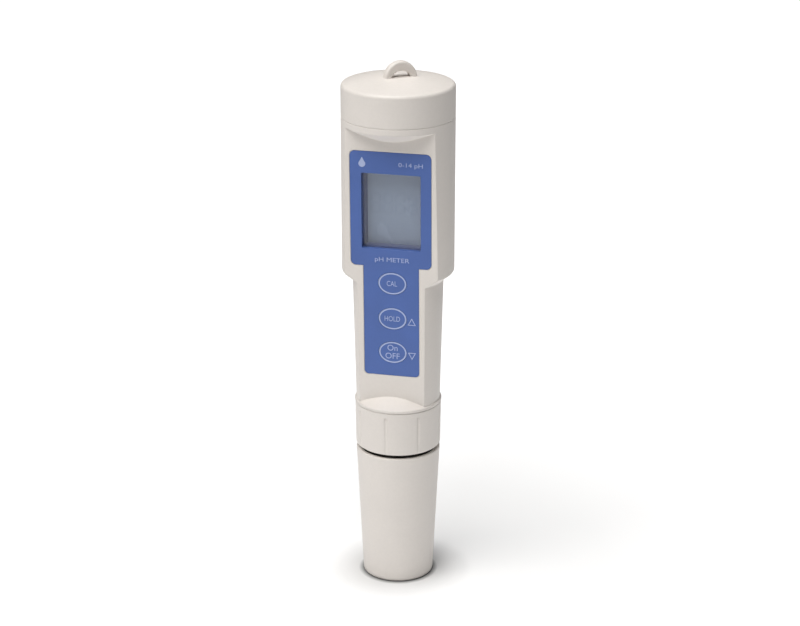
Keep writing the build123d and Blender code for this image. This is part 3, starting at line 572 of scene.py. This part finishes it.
def give_thickness(bm, thickness):
    """Extrudes every face of a flat shape along +z, so that it becomes closed."""
    raised = bmesh.ops.extrude_face_region(bm, geom=bm.faces[:], use_keep_orig=True)
    corners = [g for g in raised["geom"] if isinstance(g, bmesh.types.BMVert)]
    bmesh.ops.translate(bm, vec=(0.0, 0.0, thickness), verts=corners)


def outline(width, height, line, segments, turn=0.0):
    """A flat closed line: an ellipse, or a triangle when it has three segments."""
    bm = bmesh.new()
    bmesh.ops.create_circle(bm, cap_ends=True, segments=segments, radius=0.5)
    bmesh.ops.rotate(bm, matrix=Matrix.Rotation(turn, 3, "Z"), verts=bm.verts)
    low, high = corners_of(bm)
    bmesh.ops.translate(bm, vec=-(low + high) / 2, verts=bm.verts)
    bmesh.ops.scale(bm, vec=(width / (high.x - low.x), height / (high.y - low.y), 1.0), verts=bm.verts)
    bmesh.ops.inset_individual(bm, faces=bm.faces[:], thickness=line, use_even_offset=True)
    middle = min(bm.faces, key=lambda f: f.calc_center_median().length)
    bmesh.ops.delete(bm, geom=[middle], context="FACES_ONLY")
    give_thickness(bm, ink_thickness)
    return bm


def lettering(words, width, height):
    """Letters as a closed mesh, centred, and fitted to a width and a height."""
    curve = bpy.data.curves.new("letters", "FONT")
    curve.body = words
    curve.resolution_u = 6
    curve.extrude = ink_thickness / 2
    maker = bpy.data.objects.new("letters", curve)
    bpy.context.scene.collection.objects.link(maker)
    bpy.context.view_layer.update()
    mesh = bpy.data.meshes.new_from_object(maker.evaluated_get(bpy.context.evaluated_depsgraph_get()))
    bm = bmesh.new()
    bm.from_mesh(mesh)
    bpy.data.objects.remove(maker)
    bpy.data.curves.remove(curve)
    bpy.data.meshes.remove(mesh)
    low, high = corners_of(bm)
    to_centre = (-(low.x + high.x) / 2, -(low.y + high.y) / 2, ink_thickness / 2)
    bmesh.ops.translate(bm, vec=to_centre, verts=bm.verts)
    bmesh.ops.scale(bm, vec=(width / (high.x - low.x), height / (high.y - low.y), 1.0), verts=bm.verts)
    return bm


print("sign tools ready")

# %% [markdown]
# ### Keys
#
# Each key has a light ring, and its word or words in the middle. The ink moves with its key, so it
# all rides on the key's own body and not on the housing.

# %% Key printing
ring_margin = 0.1 * mm
ring_line = 0.48 * mm
key_words = {
    "cal": [("CAL", 3.7, 1.9, -0.15, 0.0)],
    "hold": [("HOLD", 5.6, 1.9, -0.1, 0.0)],
    "power": [("On", 3.7, 2.2, -0.1, 1.75), ("OFF", 5.2, 2.2, -0.1, -1.35)],
}
for key, words in key_words.items():
    low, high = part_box(key + "_key")
    centre = (low + high) / 2
    width = high.x - low.x - 2 * ring_margin
    height = high.z - low.z - 2 * ring_margin
    ring = outline(width, height, ring_line, 96)
    face = front_of(key + "_key")
    keep_piece(key + "_key_ring", ring, on_front(centre.x, centre.z, face), key + "_key_body",
               "label_ink")
    for word, word_width, word_height, x, z in words:
        letters = lettering(word, word_width * mm, word_height * mm)
        spot = on_front(centre.x + x * mm, centre.z + z * mm, face)
        name = key + "_key_word_" + word.lower()
        keep_piece(name, letters, spot, key + "_key_body", "label_ink")
print("keys printed:", list(key_words))

# %% [markdown]
# ### Signs on the film
#
# Beside the two lower keys are an up and a down arrow, and under the window is the kind of meter.
# At the top a neutral drop stands where a maker would put a mark, with the range beside it. The
# arrows are thinner than the key rings, because they are only hints.

# %% Signs
arrow_line = 0.26 * mm


def drop_shape(width, height):
    """A filled water drop: a circle whose upper half is drawn up into a point."""
    bm = bmesh.new()
    bmesh.ops.create_circle(bm, cap_ends=True, segments=48, radius=width / 2)
    for corner in bm.verts:
        lift = max(0.0, corner.co.y / (width / 2))
        corner.co.x *= 1.0 - 0.62 * lift ** 2
        corner.co.y += (height - width) * lift ** 3
    bmesh.ops.translate(bm, vec=(0.0, (width - height) / 2, 0.0), verts=bm.verts)
    give_thickness(bm, ink_thickness)
    return bm


def sign(name, bm, x, z):
    """A sign on the film, at a height above the base and a distance right of the axis, in mm."""
    keep_piece(name, bm, on_front(x * mm, z * mm, film_front), "housing", "label_ink")


sign("up_arrow", outline(3.0 * mm, 2.75 * mm, arrow_line, 3), 7.35, 101.4)
sign("down_arrow", outline(2.9 * mm, 2.7 * mm, arrow_line, 3, pi), 7.4, 88.25)
sign("kind_of_meter", lettering("pH METER", 12.4 * mm, 2.1 * mm), 0.4, 123.9)
sign("measuring_range", lettering("0-14 pH", 8.6 * mm, 2.0 * mm), 7.2, 158.9)
sign("drop_mark", drop_shape(2.5 * mm, 3.6 * mm), -10.1, 159.4)
print("signs done")

# %% [markdown]
# ### Resting segments of the display
#
# A liquid crystal display that is switched off still shows its segments as a faint shade. Each
# is a thin hexagonal bar on the glass. The bars are one shape, turned, stretched and moved into
# the seven places of a figure eight.

# %% Display segments
def segment(bm, length, width, x, y, turned):
    """One bar with pointed ends, added to a bmesh."""
    bar = bmesh.ops.create_circle(bm, cap_ends=True, segments=6, radius=0.5)["verts"]
    for corner in bar:
        if abs(corner.co.y) > 0.1:
            corner.co.x = (0.5 - width / length / 2) * (1 if corner.co.x > 0 else -1)
            corner.co.y = 0.5 * (1 if corner.co.y > 0 else -1)
    bmesh.ops.scale(bm, vec=(length, width, 1.0), verts=bar)
    bmesh.ops.rotate(bm, matrix=Matrix.Rotation(pi / 2 if turned else 0.0, 3, "Z"), verts=bar)
    bmesh.ops.translate(bm, vec=(x, y, 0.0), verts=bar)


def figure(bm, x, y, width, height, line):
    """The seven segments of one figure."""
    gap = line * 0.35
    for row in (-1, 0, 1):
        segment(bm, width - line, line, x, y + row * (height - line) / 2, False)
    length = (height - line) / 2 - gap
    for side in (-1, 1):
        bar_x = x + side * (width - line) / 2 + side * gap / 4
        for half in (-1, 1):
            segment(bm, length, line, bar_x, y + half * (height - line) / 4, True)


low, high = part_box("display_glass")
display_middle = (low + high) / 2
segments = bmesh.new()
for index in range(4):
    figure(segments, (-6.6 + index * 4.4) * mm, 1.6 * mm, 3.4 * mm, 7.6 * mm, 0.62 * mm)
for index in range(3):
    figure(segments, (-1.2 + index * 2.7) * mm, -7.6 * mm, 2.1 * mm, 4.2 * mm, 0.4 * mm)
bmesh.ops.recalc_face_normals(segments, faces=segments.faces)
give_thickness(segments, ink_thickness)
on_glass = on_front(display_middle.x, display_middle.z, front_of("display_glass"))
keep_piece("display_segments", segments, on_glass, "housing", "display_ghost")
print("display segments made")

# %% [markdown]
# ## Storage sponge
#
# A damp disc of sponge in the protective cap keeps the bulb wet. A plain cylinder looks hard, so
# this one is crowned on top, pulled in at its waist, and uneven where the cells open. A turned
# profile would be too regular: a cylinder is subdivided, crowned by a formula, and roughened by a
# noise that is the same each run, and its pores come from the material.

# %% Sponge
from mathutils import noise

rim_rounding = 1.6 * mm
waist = 0.05                 # share by which the middle is pulled in
looseness = 0.98             # share of the CAD disc's width that the sponge takes
crown = 0.9 * mm             # how far the top's edge lies below its middle
top_clearance = 0.15 * mm    # keeps the rough top inside the CAD part
cell_relief = 0.12 * mm

low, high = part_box("storage_sponge")
centre = (low + high) / 2
radius = (high.x - low.x) / 2
height = high.z - low.z
bm = bmesh.new()
bmesh.ops.create_cone(bm, cap_ends=True, segments=72, radius1=radius, radius2=radius, depth=height)
rims = [e for e in bm.edges if abs(e.verts[0].co.z - e.verts[1].co.z) < 1e-6 and len(e.link_faces) == 2]
bmesh.ops.bevel(bm, geom=rims, offset=rim_rounding, segments=5, affect="EDGES", profile=0.5, material=-1)
caps = [f for f in bm.faces if len(f.verts) > 8]
for _ in range(5):
    bmesh.ops.inset_individual(bm, faces=caps, thickness=radius / 7, use_even_offset=True)
walls = [e for e in bm.edges if abs(e.verts[0].co.z - e.verts[1].co.z) > height / 2]
bmesh.ops.subdivide_edges(bm, edges=walls, cuts=8, use_grid_fill=True)
for corner in bm.verts:
    share = corner.co.z / (height / 2)
    out_share = (corner.co.x ** 2 + corner.co.y ** 2) ** 0.5 / radius
    pulled = 1.0 - waist * (1.0 - share ** 2)
    rough = noise.noise(corner.co * 900.0) * cell_relief
    corner.co.x *= pulled * looseness
    corner.co.y *= pulled * looseness
    if share > 0.5:
        corner.co.z -= (crown * out_share ** 2 + top_clearance) * (share - 0.5) * 2
        corner.co.z += rough
for face in bm.faces:
    face.smooth = True
in_cap = Matrix.Translation(centre)
sponge = keep_piece("sponge_pad", bm, in_cap, "protective_cap_body", "sponge")
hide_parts("storage_sponge")
print("sponge faces:", len(sponge.data.polygons))

# %% [markdown]
# ## Floor and light
#
# The meter stands on a white table whose glow is painted light: the table glows a little so that the
# background is pure white and the shadow stays pale. The glow starts just outside the foot and rises
# with the distance, so it paints a soft shade where the cap meets the table and the pale falloff of
# the cast shadow. In a narrow ring round the foot the table's colour is darkened too, a painted contact
# shade that deepens that shade. Far from the meter the glow is almost for the camera alone, so that
# it hardly lights the object.

# %% Floor
made, tree, shader = start_material("white_floor", Roughness=0.9, Specular_IOR_Level=0.1)
cloudy = use_group(tree, drift, Color=(0.82, 0.82, 0.82, 1.0), Amount=0.01, Scale=3.0)
centre_distance = add_node(tree, "VectorMath", {"Vector": object_place(tree)}, operation="LENGTH")
away = centre_distance.outputs["Value"]
# Painted contact shade: the table's colour is darkened in a narrow ring round the foot.
painted_contact_shade = rescale(tree, away, 12.7 * mm, 14.7 * mm, 0.3, 1.0)
shaded = mix_colours(tree, 1.0, cloudy["Color"], painted_contact_shade, "MULTIPLY")
fill(tree, shader.inputs["Base Color"], shaded)
# Painted light: the glow is low just outside the foot and rises outward, which paints the soft contact shade and
# the pale falloff of the cast shadow.
near_painted_glow = rescale(tree, away, 15.0 * mm, 28.0 * mm, 0.0, 0.3)
far_painted_glow = rescale(tree, away, 80.0 * mm, 350.0 * mm, 0.0, 0.4)
painted_floor_glow = calculate(tree, "ADD", near_painted_glow, far_painted_glow)
lighting_share = rescale(tree, away, 100.0 * mm, 400.0 * mm, 1.0, 0.06)
seen = add_node(tree, "LightPath").outputs["Is Camera Ray"]
share = calculate(tree, "MAXIMUM", lighting_share, seen)
fill(tree, shader.inputs["Emission Strength"], calculate(tree, "MULTIPLY", painted_floor_glow, share))
shader.inputs["Emission Color"].default_value = (1.0, 1.0, 1.0, 1.0)
floor_half_width = 6.0       # metres
bm = bmesh.new()
bmesh.ops.create_grid(bm, x_segments=1, y_segments=1, size=floor_half_width)
floor_mesh = bpy.data.meshes.new("floor")
bm.to_mesh(floor_mesh)
bm.free()
floor_mesh.materials.append(made)
floor = bpy.data.objects.new("floor", floor_mesh)
bpy.context.scene.collection.objects.link(floor)
print("floor at z 0")

# %% [markdown]
# A large lamp in front, high and to the left, gives the soft key light and lets the right side
# fall off. A second, wider one is centred above and a little behind, and brightens the top more
# than the front. The world adds only a trace of light.

# %% Lamps
middle = (cad_box[0] + cad_box[1]) / 2


def soft_lamp(name, place, size, power, colour=(1.0, 1.0, 1.0)):
    """A square area lamp that points at the middle of the meter."""
    data = bpy.data.lights.new(name, "AREA")
    data.size = size
    data.energy = power
    data.color = colour
    lamp = bpy.data.objects.new(name, data)
    lamp.location = place
    lamp.rotation_euler = (middle - Vector(place)).to_track_quat("-Z", "Y").to_euler()
    bpy.context.scene.collection.objects.link(lamp)
    return lamp


def around(azimuth, elevation, distance):
    """A place round the meter: azimuth from the front, to its right, and elevation, in degrees."""
    turn, rise = radians(azimuth), radians(elevation)
    return middle + distance * Vector((sin(turn) * cos(rise), -cos(turn) * cos(rise), sin(rise)))


soft_lamp("lamp_key", around(-27.0, 62.0, 1.2), 0.95, 13.2, (1.0, 0.985, 0.965))
soft_lamp("lamp_above", around(150.0, 82.0, 2.1), 2.0, 18.0)
world = bpy.data.worlds.new("studio")
world.use_nodes = True
world.node_tree.nodes["Background"].inputs["Color"].default_value = (0.95, 0.97, 1.0, 1.0)
world.node_tree.nodes["Background"].inputs["Strength"].default_value = 0.04
bpy.context.scene.world = world
